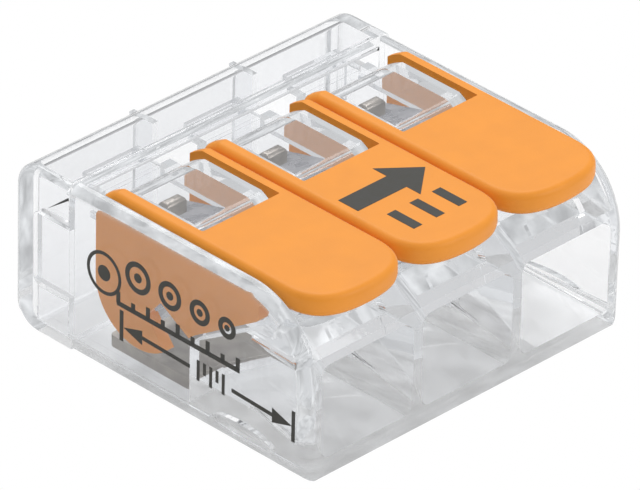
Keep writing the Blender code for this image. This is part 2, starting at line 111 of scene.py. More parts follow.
def drawPiece(name, points, low, high, plane="side"):
    # One vertex, extruded from point to point, filled, then pulled out to its width.
    deselectAll()
    places = [onPlane(plane, first, second, low) for first, second in points]
    bpy.ops.mesh.primitive_plane_add(size=mm, location=places[0])
    obj = bpy.context.object
    obj.name = name
    bpy.ops.object.transform_apply(location=True, rotation=True, scale=True)
    bpy.ops.object.mode_set(mode="EDIT")
    bpy.ops.mesh.select_mode(type="VERT")
    bpy.ops.mesh.select_all(action="SELECT")
    bpy.ops.mesh.merge(type="CENTER")
    for before, after in zip(places, places[1:]):
        bpy.ops.mesh.extrude_region_move(TRANSFORM_OT_translate={"value": after - before})
    bpy.ops.mesh.select_all(action="SELECT")
    bpy.ops.mesh.edge_face_add()
    pull = onPlane(plane, 0.0, 0.0, high - low)
    bpy.ops.mesh.extrude_region_move(TRANSFORM_OT_translate={"value": pull})
    bpy.ops.mesh.select_all(action="SELECT")
    bpy.ops.mesh.normals_make_consistent(inside=False)
    bpy.ops.object.mode_set(mode="OBJECT")
    return obj


def addBlock(name, low, high):
    # A cube primitive at its size and place.
    deselectAll()
    low, high = Vector(low), Vector(high)
    bpy.ops.mesh.primitive_cube_add(size=1.0, location=(low + high) / 2 * mm)
    obj = bpy.context.object
    obj.name = name
    obj.scale = (high - low) * mm
    bpy.ops.object.transform_apply(location=True, rotation=True, scale=True)
    return obj


def addRod(name, centre, radius, low, high):
    # A cylinder primitive lying across the connector, along X.
    deselectAll()
    place = Vector(((low + high) / 2, *centre)) * mm
    bpy.ops.mesh.primitive_cylinder_add(vertices=48, radius=radius * mm, depth=(high - low) * mm,
                                        location=place, rotation=(0.0, math.pi / 2, 0.0))
    obj = bpy.context.object
    obj.name = name
    bpy.ops.object.transform_apply(location=True, rotation=True, scale=True)
    return obj


def roundEdges(obj, chosen, width, segments):
    # Bevels the edges whose two ends (in mm) pass a test.
    makeActive(obj)
    bpy.ops.object.mode_set(mode="EDIT")
    bpy.ops.mesh.select_mode(type="EDGE")
    bpy.ops.mesh.select_all(action="DESELECT")
    mesh = bmesh.from_edit_mesh(obj.data)
    for edge in mesh.edges:
        if chosen(edge.verts[0].co / mm, edge.verts[1].co / mm):
            edge.select_set(True)
    bmesh.update_edit_mesh(obj.data)
    bpy.ops.mesh.bevel(offset=width * mm, segments=segments, profile=0.5, affect="EDGES",
                       clamp_overlap=True)
    bpy.ops.object.mode_set(mode="OBJECT")


def combine(target, tool, operation="DIFFERENCE"):
    # Cuts or joins with a Boolean modifier, applies it and removes the tool.
    makeActive(target)
    step = target.modifiers.new("step", "BOOLEAN")
    step.operation = operation
    step.solver = "EXACT"
    step.object = tool
    bpy.ops.object.modifier_apply(modifier=step.name)
    bpy.data.objects.remove(tool, do_unlink=True)


def cleanFlats(obj, flatAngle):
    # Merges doubled points and dissolves the edges inside each flat.
    makeActive(obj)
    bpy.ops.object.mode_set(mode="EDIT")
    bpy.ops.mesh.select_all(action="SELECT")
    bpy.ops.mesh.remove_doubles(threshold=edgeCare["merge"] * mm)
    bpy.ops.mesh.dissolve_limited(angle_limit=math.radians(flatAngle))
    bpy.ops.object.mode_set(mode="OBJECT")


edgeCare = {"merge": 0.001, "mergeAfter": 0.0002, "holeSides": 8, "flat": 0.5, "bevelAngle": 32,
            "smoothAngle": 38}


def softenEdges(obj, width, segments):
    # A fine edge radius all over, then shading that keeps the flats flat.
    cleanFlats(obj, edgeCare["flat"])
    step = obj.modifiers.new("softEdge", "BEVEL")
    step.width = width * mm
    step.segments = segments
    step.limit_method = "ANGLE"
    step.angle_limit = math.radians(edgeCare["bevelAngle"])
    step.use_clamp_overlap = True
    step.miter_outer = "MITER_ARC"
    bpy.ops.object.modifier_apply(modifier=step.name)
    bpy.ops.object.mode_set(mode="EDIT")
    bpy.ops.mesh.select_all(action="SELECT")
    bpy.ops.mesh.remove_doubles(threshold=edgeCare["mergeAfter"] * mm)
    bpy.ops.mesh.fill_holes(sides=edgeCare["holeSides"])
    bpy.ops.object.mode_set(mode="OBJECT")
    makeActive(obj)
    bpy.ops.object.shade_smooth_by_angle(angle=math.radians(edgeCare["smoothAngle"]))
    step = obj.modifiers.new("flats", "WEIGHTED_NORMAL")
    step.keep_sharp = True
    bpy.ops.object.modifier_apply(modifier=step.name)


def copyPiece(obj, name, shift):
    made = obj.copy()
    made.data = obj.data.copy()
    made.name = name
    made.data.name = name
    bpy.context.scene.collection.objects.link(made)
    made.data.transform(Matrix.Translation(Vector(shift) * mm))
    return made


def joinPieces(name, pieces):
    deselectAll()
    for piece in pieces:
        piece.select_set(True)
    bpy.context.view_layer.objects.active = pieces[0]
    bpy.ops.object.join()
    pieces[0].name = name
    return pieces[0]


def setMaterial(obj, finish):
    obj.data.materials.clear()
    obj.data.materials.append(finish)


# Finishes.
def makeMouldGrain():
    # Fine moulding texture and slow unevenness, from the piece's own coordinates.
    group = bpy.data.node_groups.new("mouldGrain", "ShaderNodeTree")
    for name, kind in (("Grain Scale", "NodeSocketFloat"), ("Wave Scale", "NodeSocketFloat"),
                       ("Strength", "NodeSocketFloat"), ("Rough Low", "NodeSocketFloat"),
                       ("Rough High", "NodeSocketFloat")):
        group.interface.new_socket(name, in_out="INPUT", socket_type=kind)
    group.interface.new_socket("Roughness", in_out="OUTPUT", socket_type="NodeSocketFloat")
    group.interface.new_socket("Normal", in_out="OUTPUT", socket_type="NodeSocketVector")
    group.interface.new_socket("Patch", in_out="OUTPUT", socket_type="NodeSocketFloat")
    nodes, links = group.nodes, group.links
    entry = nodes.new("NodeGroupInput")
    leave = nodes.new("NodeGroupOutput")
    where = nodes.new("ShaderNodeTexCoord")
    grain = nodes.new("ShaderNodeTexNoise")
    grain.inputs["Detail"].default_value = 4.0
    wave = nodes.new("ShaderNodeTexNoise")
    wave.inputs["Detail"].default_value = 2.0
    links.new(where.outputs["Object"], grain.inputs["Vector"])
    links.new(where.outputs["Object"], wave.inputs["Vector"])
    links.new(entry.outputs["Grain Scale"], grain.inputs["Scale"])
    links.new(entry.outputs["Wave Scale"], wave.inputs["Scale"])
    spread = nodes.new("ShaderNodeMapRange")
    spread.inputs["From Min"].default_value = 0.3
    spread.inputs["From Max"].default_value = 0.7
    links.new(wave.outputs["Fac"], spread.inputs["Value"])
    links.new(entry.outputs["Rough Low"], spread.inputs["To Min"])
    links.new(entry.outputs["Rough High"], spread.inputs["To Max"])
    bump = nodes.new("ShaderNodeBump")
    bump.inputs["Distance"].default_value = 0.00002
    links.new(entry.outputs["Strength"], bump.inputs["Strength"])
    links.new(grain.outputs["Fac"], bump.inputs["Height"])
    links.new(spread.outputs["Result"], leave.inputs["Roughness"])
    links.new(bump.outputs["Normal"], leave.inputs["Normal"])
    links.new(wave.outputs["Fac"], leave.inputs["Patch"])
    return group


mouldGrain = makeMouldGrain()


def newFinish(name, colour, metallic=0.0, specular=0.5):
    made = bpy.data.materials.new(name)
    made.use_nodes = True
    shader = made.node_tree.nodes["Principled BSDF"]
    shader.inputs["Base Color"].default_value = (*colour, 1.0)
    shader.inputs["Metallic"].default_value = metallic
    shader.inputs["Specular IOR Level"].default_value = specular
    return made, shader


def addGrain(made, shader, values, tints=None):
    nodes, links = made.node_tree.nodes, made.node_tree.links
    grain = nodes.new("ShaderNodeGroup")
    grain.node_tree = mouldGrain
    for name, value in values.items():
        grain.inputs[name].default_value = value
    links.new(grain.outputs["Roughness"], shader.inputs["Roughness"])
    links.new(grain.outputs["Normal"], shader.inputs["Normal"])
    if tints:
        ramp = nodes.new("ShaderNodeValToRGB")
        ramp.color_ramp.elements[0].position = 0.3
        ramp.color_ramp.elements[0].color = (*tints[0], 1.0)
        ramp.color_ramp.elements[1].position = 0.7
        ramp.color_ramp.elements[1].color = (*tints[1], 1.0)
        links.new(grain.outputs["Patch"], ramp.inputs["Fac"])
        links.new(ramp.outputs["Color"], shader.inputs["Base Color"])


# The clear plastic's settings include a painted pale glow, in faint streaks, for light that has bounced long
# inside it.
clearLook = {"tint": (0.94, 0.945, 0.955), "ior": 1.5, "shadow": 0.04, "paintedGlow": (0.90, 0.92, 0.94),
             "paintedGlowStrength": 0.75, "paintedGlowLow": 0.52, "paintedGlowHigh": 0.95, "glowStreakScale": 550.0, "depth": 6.5,
             "glances": 2.5, "edge": (0.20, 0.175, 0.155), "edgeStart": 0.62}
leverLook = {"dull": (0.75, 0.275, 0.026), "bright": (0.80, 0.300, 0.034), "glow": (0.95, 0.25, 0.0),
             "glowStrength": 0.08, "specular": 0.34, "fade": (3.5, 6.5, 0.98, 0.97)}
springLook = {"dull": (0.34, 0.34, 0.36), "bright": (0.50, 0.49, 0.51), "fade": (4.5, 7.5, 0.95, 0.7)}
tinLook = {"dull": (0.27, 0.245, 0.225), "bright": (0.40, 0.37, 0.335), "fade": (3.5, 7.5, 0.95, 0.85)}
inkLook = {"dull": (0.018, 0.017, 0.012), "bright": (0.030, 0.028, 0.020), "fade": (2.5, 4.5, 1.0, 1.0)}
# Each fade into the painted pale glow: the number of layers where it starts and ends, its most, and how much
# one mirroring adds.


def makeClear():
    made, shader = newFinish("clearPlastic", clearLook["tint"])
    shader.inputs["Transmission Weight"].default_value = 1.0
    shader.inputs["IOR"].default_value = clearLook["ior"]
    addGrain(made, shader, {"Grain Scale": 900.0, "Wave Scale": 300.0, "Strength": 0.08,
                            "Rough Low": 0.0, "Rough High": 0.05})
    nodes, links = made.node_tree.nodes, made.node_tree.links
    # Painted shade: rounded edges that turn away from the eye get a darker base colour, which draws their
    # outline.
    turn = nodes.new("ShaderNodeLayerWeight")
    edge = nodes.new("ShaderNodeValToRGB")
    edge.color_ramp.elements[0].position = clearLook["edgeStart"]
    edge.color_ramp.elements[0].color = (*clearLook["tint"], 1.0)
    edge.color_ramp.elements[1].position = 0.98
    edge.color_ramp.elements[1].color = (*clearLook["edge"], 1.0)
    links.new(turn.outputs["Facing"], edge.inputs["Fac"])
    links.new(edge.outputs["Color"], shader.inputs["Base Color"])
    path = nodes.new("ShaderNodeLightPath")
    fade = nodes.new("ShaderNodeMapRange")
    fade.inputs["To Min"].default_value = 1.0
    fade.inputs["To Max"].default_value = clearLook["shadow"]
    links.new(path.outputs["Is Shadow Ray"], fade.inputs["Value"])
    links.new(fade.outputs["Result"], shader.inputs["Alpha"])
    # Painted glow: where light has bounced about inside the plastic for long, or mirrored in it more than
    # twice, the plastic shows an even pale emission in faint streaks instead.
    paintedGlow = nodes.new("ShaderNodeEmission")
    paintedGlow.inputs["Color"].default_value = (*clearLook["paintedGlow"], 1.0)
    glowStreaks = nodes.new("ShaderNodeTexNoise")
    glowStreaks.inputs["Scale"].default_value = clearLook["glowStreakScale"]
    glowStreaks.inputs["Detail"].default_value = 3.0
    where = nodes.new("ShaderNodeTexCoord")
    spread = nodes.new("ShaderNodeMapRange")
    spread.inputs["From Min"].default_value = 0.35
    spread.inputs["From Max"].default_value = 0.65
    spread.inputs["To Min"].default_value = clearLook["paintedGlowLow"]
    spread.inputs["To Max"].default_value = clearLook["paintedGlowHigh"]
    links.new(where.outputs["Object"], glowStreaks.inputs["Vector"])
    links.new(glowStreaks.outputs["Fac"], spread.inputs["Value"])
    links.new(spread.outputs["Result"], paintedGlow.inputs["Strength"])
    deep = nodes.new("ShaderNodeMath")
    deep.operation = "GREATER_THAN"
    deep.inputs[1].default_value = clearLook["depth"]
    links.new(path.outputs["Ray Depth"], deep.inputs[0])
    glances = nodes.new("ShaderNodeMath")
    glances.operation = "GREATER_THAN"
    glances.inputs[1].default_value = clearLook["glances"]
    links.new(path.outputs["Glossy Depth"], glances.inputs[0])
    either = nodes.new("ShaderNodeMath")
    either.operation = "MAXIMUM"
    links.new(deep.outputs["Value"], either.inputs[0])
    links.new(glances.outputs["Value"], either.inputs[1])
    mix = nodes.new("ShaderNodeMixShader")
    links.new(either.outputs["Value"], mix.inputs["Fac"])
    links.new(shader.outputs["BSDF"], mix.inputs[1])
    links.new(paintedGlow.outputs["Emission"], mix.inputs[2])
    links.new(mix.outputs["Shader"], nodes["Material Output"].inputs["Surface"])
    return made


def fadeDeepViews(made, shader, settings):
    # Seen through many layers of the clear plastic, or mirrored inside it, a piece fades into a painted pale
    # glow.
    start, end, most, glossy = settings
    nodes, links = made.node_tree.nodes, made.node_tree.links
    path = nodes.new("ShaderNodeLightPath")
    fade = nodes.new("ShaderNodeMapRange")
    fade.inputs["From Min"].default_value = start
    fade.inputs["From Max"].default_value = end
    fade.inputs["To Max"].default_value = most
    links.new(path.outputs["Ray Depth"], fade.inputs["Value"])
    mirrored = nodes.new("ShaderNodeMath")
    mirrored.operation = "MULTIPLY"
    mirrored.inputs[1].default_value = glossy
    mirrored.use_clamp = True
    links.new(path.outputs["Glossy Depth"], mirrored.inputs[0])
    either = nodes.new("ShaderNodeMath")
    either.operation = "MAXIMUM"
    links.new(fade.outputs["Result"], either.inputs[0])
    links.new(mirrored.outputs["Value"], either.inputs[1])
    # A painted pale glow, which takes the piece's place when it is seen deep inside the plastic.
    paintedGlow = nodes.new("ShaderNodeEmission")
    paintedGlow.inputs["Color"].default_value = (*clearLook["paintedGlow"], 1.0)
    paintedGlow.inputs["Strength"].default_value = clearLook["paintedGlowStrength"]
    mix = nodes.new("ShaderNodeMixShader")
    links.new(either.outputs["Value"], mix.inputs["Fac"])
    links.new(shader.outputs["BSDF"], mix.inputs[1])
    links.new(paintedGlow.outputs["Emission"], mix.inputs[2])
    links.new(mix.outputs["Shader"], nodes["Material Output"].inputs["Surface"])


def makeFinishes():
    made = {"clear": makeClear()}
    finish, shader = newFinish("orangeMoulding", leverLook["bright"], specular=leverLook["specular"])
    # A faint glow stands for light that passes through the soft, slightly see-through orange plastic.
    shader.inputs["Emission Color"].default_value = (*leverLook["glow"], 1.0)
    shader.inputs["Emission Strength"].default_value = leverLook["glowStrength"]
    addGrain(finish, shader, {"Grain Scale": 9000.0, "Wave Scale": 500.0, "Strength": 0.35,
                              "Rough Low": 0.40, "Rough High": 0.50},
             (leverLook["dull"], leverLook["bright"]))
    fadeDeepViews(finish, shader, leverLook["fade"])
    made["lever"] = finish
    finish, shader = newFinish("springStrip", springLook["bright"], metallic=1.0)
    addGrain(finish, shader, {"Grain Scale": 4000.0, "Wave Scale": 900.0, "Strength": 0.3,
                              "Rough Low": 0.22, "Rough High": 0.36},
             (springLook["dull"], springLook["bright"]))
    fadeDeepViews(finish, shader, springLook["fade"])
    made["spring"] = finish
    finish, shader = newFinish("tinnedBar", tinLook["bright"], metallic=1.0)
    addGrain(finish, shader, {"Grain Scale": 3000.0, "Wave Scale": 1200.0, "Strength": 0.4,
                              "Rough Low": 0.28, "Rough High": 0.45}, (tinLook["dull"], tinLook["bright"]))
    fadeDeepViews(finish, shader, tinLook["fade"])
    made["tin"] = finish
    finish, shader = newFinish("padInk", inkLook["bright"])
    addGrain(finish, shader, {"Grain Scale": 12000.0, "Wave Scale": 2500.0, "Strength": 0.2,
                              "Rough Low": 0.42, "Rough High": 0.55}, (inkLook["dull"], inkLook["bright"]))
    fadeDeepViews(finish, shader, inkLook["fade"])
    made["ink"] = finish
    return made


finishes = makeFinishes()
print("finishes made")


# Clear housing.
housingShape = {
    "seam": 6.5, "frontArc": 4.5, "frontSteps": 18, "sideRound": 0.7, "floor": 0.75,
    "mouthRib": 0.62, "mouthFloor": 1.05, "mouthTop": 6.4, "throatHalf": 2.12, "throatFloor": 1.85,
    "throatTop": 6.15, "funnelDepth": 5.25, "cornerRound": 0.55,
    "stripFoot": 0.15, "stripFootZ": 6.7, "stripRun": 1.45, "blockTop": 8.4, "blockRear": -1.9,
    "land": 0.7, "step": 1.2, "bridgeHalf": 2.6, "bridgeRib": 0.7, "wall": 0.62,
    "bridgeTop": 9.78, "frontRadius": 5.08, "humpRadius": 4.95, "saddle": 8.7, "bridgeUnder": 7.55,
    "bridgeFoot": 6.3, "bridgeRound": 0.28, "rimHeight": 0.9, "rimStep": 0.22,
    "ovalMiddle": (-5.9, 1.0), "ovalRadius": 1.0, "ovalStretch": (2.2, 0.5), "ovalDepth": 0.62,
    "tongueStart": 0.6, "tongueEnd": 8.9, "tongueLow": 3.2, "tongueHigh": 7.2,
    "slotHalf": (1.9, 0.45), "slotDepth": 0.45, "slotRound": 0.15, "frontLip": 0.2, "softEdge": 0.09,
}


def bridgeOutline(inset, foot, rear, under):
    shape = housingShape
    top = shape["bridgeTop"] - inset
    dip = shape["saddle"] - inset
    frontRadius = shape["frontRadius"] - inset
    rearRadius = shape["humpRadius"] - inset
    start = 180 - math.degrees(math.asin((foot - pivot.y) / frontRadius))
    end = 180 - math.degrees(math.asin((top - pivot.y) / frontRadius))
    crest = math.degrees(math.asin((top - pivot.y) / rearRadius))
    low = math.degrees(math.asin((dip - pivot.y) / rearRadius))
    points = arcPoints(pivot, frontRadius, start, end, 14)
    return points + arcPoints(pivot, rearRadius, crest, low, 6) + [(rear, dip), (rear, under)]


def cutEntry(housing, centre):
    shape = housingShape
    half = (pitch - shape["mouthRib"]) / 2
    start = front + shape["funnelDepth"]
    mouth = addBlock("mouth", (centre - half, front - 0.02, shape["mouthFloor"]),
                     (centre + half, start, shape["mouthTop"]))
    # The back end is brought in to the throat's size.
    bpy.ops.object.mode_set(mode="EDIT")
    bpy.ops.mesh.select_mode(type="VERT")
    bpy.ops.mesh.select_all(action="DESELECT")
    mesh = bmesh.from_edit_mesh(mouth.data)
    for vertex in mesh.verts:
        if vertex.co.y > (start - 0.1) * mm:
            vertex.select_set(True)
    bmesh.update_edit_mesh(mouth.data)
    throatMiddle = (shape["throatFloor"] + shape["throatTop"]) / 2
    mouthMiddle = (shape["mouthFloor"] + shape["mouthTop"]) / 2
    tall = (shape["throatTop"] - shape["throatFloor"]) / (shape["mouthTop"] - shape["mouthFloor"])
    bpy.ops.transform.resize(value=(shape["throatHalf"] / half, 1.0, tall),
                             center_override=Vector((centre, start, mouthMiddle)) * mm)
    bpy.ops.transform.translate(value=Vector((0.0, 0.0, throatMiddle - mouthMiddle)) * mm)
    bpy.ops.object.mode_set(mode="OBJECT")

    def lengthwise(first, second):
        return abs(first.y - second.y) > 1.0

    roundEdges(mouth, lengthwise, shape["cornerRound"], 5)
    combine(housing, mouth)
    throat = addBlock("throat", (centre - shape["throatHalf"], start - 0.3, shape["throatFloor"]),
                      (centre + shape["throatHalf"], shape["blockRear"] + 1.0, shape["throatTop"]))
    combine(housing, throat)
    slope = math.atan2(shape["blockTop"] - shape["stripFootZ"], shape["stripRun"])
    wide, narrow = shape["slotHalf"]
    slot = addBlock("testSlot", (-wide, -narrow, -shape["slotDepth"]), (wide, narrow, past))
    roundEdges(slot, lambda first, second: abs(first.z - second.z) > 1.0, shape["slotRound"], 3)
    slot.rotation_euler = (slope, 0.0, 0.0)
    slot.location = Vector((centre, front + shape["stripFoot"] + shape["stripRun"] / 2,
                            (shape["blockTop"] + shape["stripFootZ"]) / 2)) * mm
    combine(housing, slot)


def makeHousing():
    shape = housingShape
    seam = shape["seam"]
    housing = addBlock("housing_shell", (-sideOut, front, 0.0), (sideOut, seam, topOfHousing))
    roundEdges(housing, lambda a, b: min(a.z, b.z) > 9.0 and max(a.y, b.y) < 0, shape["frontArc"],
               shape["frontSteps"])

    def outerSide(first, second):
        onSide = min(abs(first.x), abs(second.x)) > sideOut - 0.01 and first.x * second.x > 0
        return onSide and min(first.y, second.y) < seam - 0.01

    roundEdges(housing, outerSide, shape["sideRound"], 4)
    print("housing blank")

    above = topOfHousing + past
    footY = front + shape["stripFoot"]
    headY = footY + shape["stripRun"]
    landY = headY + shape["land"]
    bay = [(front - past, shape["stripFootZ"]), (footY, shape["stripFootZ"]), (headY, shape["blockTop"]),
           (landY, shape["blockTop"]), (landY + shape["land"], shape["blockTop"] - shape["step"]),
           (shape["blockRear"], shape["stripFootZ"]), (shape["blockRear"], shape["floor"]),
           (seam + past, shape["floor"]), (seam + past, above), (front - past, above)]
    combine(housing, drawPiece("bay", bay, -sideIn, sideIn))

    # Room for the levers' webs beside each pole.
    webRoom = [(-7.8, 7.2), (-6.6, 7.2), (-2.0, 4.4), (-0.9, 3.8), (-0.9, shape["blockTop"]),
               (-7.8, shape["blockTop"])]
    beside = pitch / 2 - shape["bridgeHalf"] - 0.05
    for index in range(len(poles) + 1):
        middle = poles[0] - pitch / 2 + index * pitch
        room = drawPiece("webRoom", webRoom, max(middle - beside, -sideIn), min(middle + beside, sideIn))
        combine(housing, room)

    rear = seam - 0.1
    for centre in poles:
        half = shape["bridgeHalf"]
        rib = half - shape["bridgeRib"]
        outline = bridgeOutline(0.0, shape["bridgeFoot"], rear, shape["bridgeUnder"])
        inner = shape["frontRadius"] - shape["wall"]
        legIn = 180 - math.degrees(math.asin((shape["bridgeUnder"] - pivot.y) / inner))
        legFoot = 180 - math.degrees(math.asin((shape["bridgeFoot"] - pivot.y) / inner))
        outline += arcPoints(pivot, inner, legIn, legFoot, 5)
        bridge = drawPiece("bridge", outline, centre - half, centre + half)
        roundEdges(bridge, lambda a, b: min(a.z, b.z) > 8.75 and abs(a.x - b.x) < 0.01,
                   shape["bridgeRound"], 4)
        combine(housing, bridge, "UNION")
        hollow = bridgeOutline(shape["wall"], 6.0, rear + past, 6.0)
        hollow = [(max(y, shape["blockRear"] + 0.05), z) for y, z in hollow]
        combine(housing, drawPiece("hollow", hollow, centre - rib, centre + rib))
        lip = addBlock("lip", (centre - rib - 0.03, rear - 0.65, shape["saddle"] - 0.55),
                       (centre + rib + 0.03, 8.1, shape["saddle"] - 0.05))
        combine(housing, lip, "UNION")
    print("bridges")

    for centre in poles:
        cutEntry(housing, centre)
    print("wire entries")

    # On each side: a step along the bottom rim, a low oval recess and a snap tongue.
    for side in (-1, 1):
        edges = sorted((side * (sideOut - shape["rimStep"]), side * (sideOut + past)))
        combine(housing, addBlock("rimStep", (edges[0], front - past, -past),
                                  (edges[1], 9.0, shape["rimHeight"])))
        edges = sorted((side * (sideOut - shape["ovalDepth"]), side * (sideOut + past)))
        oval = addRod("oval", shape["ovalMiddle"], shape["ovalRadius"], edges[0], edges[1])
        bpy.ops.object.mode_set(mode="EDIT")
        bpy.ops.mesh.select_all(action="SELECT")
        bpy.ops.transform.resize(value=(1.0, *shape["ovalStretch"]),
                                 center_override=Vector((0.0, *shape["ovalMiddle"])) * mm)
        bpy.ops.object.mode_set(mode="OBJECT")
        combine(housing, oval)
        edges = sorted((side * (sideIn + 0.05), side * (sideOut - 0.05)))
        tongue = addBlock("tongue", (edges[0], seam - shape["tongueStart"], shape["tongueLow"]),
                          (edges[1], shape["tongueEnd"], shape["tongueHigh"]))
        combine(housing, tongue, "UNION")

    def frontLip(first, second):
        # The wire entries' outlines and the bottom edge, but not the rounded upright corners.
        onCorner = min(abs(first.x), abs(second.x)) > sideOut - 0.75 and first.x * second.x > 0
        return max(first.y, second.y) < front + 0.02 and not onCorner

    roundEdges(housing, frontLip, shape["frontLip"], 4)
    softenEdges(housing, shape["softEdge"], 2)
    setMaterial(housing, finishes["clear"])
    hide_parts("housing")
    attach(housing, "connector_body")
    print("housing done", len(housing.data.polygons))


# Clear rear cover.
coverShape = {
    "front": 6.56, "wall": 0.62, "rearRound": 1.45, "sideRound": 0.4, "hollowRound": 0.9,
    "rim": 0.55, "rimLow": 8.95, "rib": 0.35, "ribFront": 8.5, "overlap": 0.3,
    "notchEnd": 9.15, "notchLow": 2.95, "notchHigh": 7.45, "notchRound": 0.6, "softEdge": 0.09,
}


def makeCover():
    shape = coverShape
    cover = addBlock("rear_cover_shell", (-sideOut, shape["front"], 0.0),
                     (sideOut, coverHigh.y, topOfHousing))
    roundEdges(cover, lambda a, b: min(a.y, b.y) > coverHigh.y - 0.01 and abs(a.x - b.x) > 1.0,
               shape["rearRound"], 8)

    def sideEdges(first, second):
        onSide = min(abs(first.x), abs(second.x)) > sideOut - 0.01 and first.x * second.x > 0
        return onSide and max(first.y, second.y) > shape["front"] + 0.01

    roundEdges(cover, sideEdges, shape["sideRound"], 4)
    hollow = addBlock("coverHollow", (-sideIn, shape["front"] - past, shape["wall"]),
                      (sideIn, coverHigh.y - shape["wall"], topOfHousing - shape["wall"]))
    roundEdges(hollow, lambda a, b: min(a.y, b.y) > 8.0, shape["hollowRound"], 5)
    combine(cover, hollow)
    overlap = shape["overlap"]
    rim = addBlock("coverRim", (-sideIn - overlap, shape["front"] + 0.001, shape["rimLow"]),
                   (sideIn + overlap, shape["front"] + shape["rim"], topOfHousing - overlap))
    combine(cover, rim, "UNION")
    for index in range(len(poles) - 1):
        middle = poles[index] + pitch / 2
        rib = addBlock("coverRib", (middle - shape["rib"] / 2, shape["ribFront"], overlap),
                       (middle + shape["rib"] / 2, coverHigh.y - overlap, topOfHousing - overlap))
        combine(cover, rib, "UNION")
    for side in (-1, 1):
        edges = sorted((side * (sideIn - overlap), side * (sideOut + past)))
        notch = addBlock("tongueNotch", (edges[0], shape["front"] - past, shape["notchLow"]),
                         (edges[1], shape["notchEnd"], shape["notchHigh"]))
        roundEdges(notch, lambda a, b: abs(a.x - b.x) > 0.5 and min(a.y, b.y) > 8.0,
                   shape["notchRound"], 4)
        combine(cover, notch)
        edges = sorted((side * (sideOut - housingShape["rimStep"]), side * (sideOut + past)))
        combine(cover, addBlock("rimStep", (edges[0], 5.0, -past),
                                (edges[1], 12.0, housingShape["rimHeight"])))
    softenEdges(cover, shape["softEdge"], 2)
    setMaterial(cover, finishes["clear"])
    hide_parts("rear_cover")
    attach(cover, "connector_body")
    print("rear cover done", len(cover.data.polygons))


# Orange levers.
leverShape = {
    "half": 3.42, "cellHalf": 2.7, "under": 8.75, "windowY": -1.4, "disc": 3.1, "armFlat": 2.2,
    "sweep": 5.25, "tipStart": 2.75, "tipFullness": 0.56, "topRound": 0.4, "underRound": 0.45,
    "windowRound": 0.45, "webFront": -6.6, "webLow": 7.5, "webRound": 0.35, "heel": (-2.0, 4.7),
    "tabAngle": -50, "tabOffset": 0.7, "notchNear": 1.5, "notchFar": 3.0, "notchReach": 3.9,
    "notchCloses": 232, "notchOpens": 193, "softEdge": 0.07,
}


def leverSideOutline(top):
    shape = leverShape
    heel = Vector(shape["heel"]) - pivot
    tangent = math.degrees(math.acos(shape["disc"] / heel.length))
    heelAngle = math.degrees(math.atan2(heel.y, heel.x)) % 360
    arm = math.hypot(shape["armFlat"], top - pivot.y)
    hookLow = math.degrees(math.acos(shape["disc"] / arm))
    hookHigh = math.degrees(math.atan2(top - pivot.y, shape["armFlat"]))
    small = shape["webRound"]
    nose = arcPoints((shape["webFront"] + small, shape["webLow"] + small), small, 180, 240, 4)
    return ([(leverLow.y, top), (leverLow.y, shape["under"]), (shape["webFront"], shape["under"])]
            + nose + [shape["heel"]]
            + arcPoints(pivot, shape["disc"], heelAngle + tangent, 360, 26)
            + arcPoints(pivot, arm, hookLow, hookHigh, 8))


def tipOutline():
    # Seen from above: straight sides running into a rounded tip.
    shape = leverShape
    half = shape["half"]
    start = Vector((half, leverLow.y + shape["tipStart"]))
    bends = [Vector((half, leverLow.y + shape["tipStart"] / 5)),
             Vector((half * shape["tipFullness"], leverLow.y))]
    end = Vector((0.0, leverLow.y))
    curve = []
    for step in range(17):
        t = step / 16
        point = (start * (1 - t) ** 3 + bends[0] * 3 * t * (1 - t) ** 2 + bends[1] * 3 * t * t * (1 - t)
                 + end * t ** 3)
        curve.append((point.x, point.y))
    mirrored = [(-x, y) for x, y in curve[-2::-1]]
    return [(half, 9.0)] + curve + mirrored + [(-half, 9.0)]


def notchOutline():
    # Where the spring's tab travels in the disc, and its way out.
    shape = leverShape
    angle, closes, opens = (math.radians(shape[key]) for key in ("tabAngle", "notchCloses", "notchOpens"))
    tab = bend + Vector((math.sin(angle), -math.cos(angle))) * shape["tabOffset"]
    along = Vector((math.cos(angle), math.sin(angle)))
    low = pivot + Vector((math.cos(closes), math.sin(closes))) * shape["notchReach"]
    high = pivot + Vector((math.cos(opens), math.sin(opens))) * shape["notchReach"]
    return [tab + along * shape["notchNear"], tab + along * shape["notchFar"], low, high]


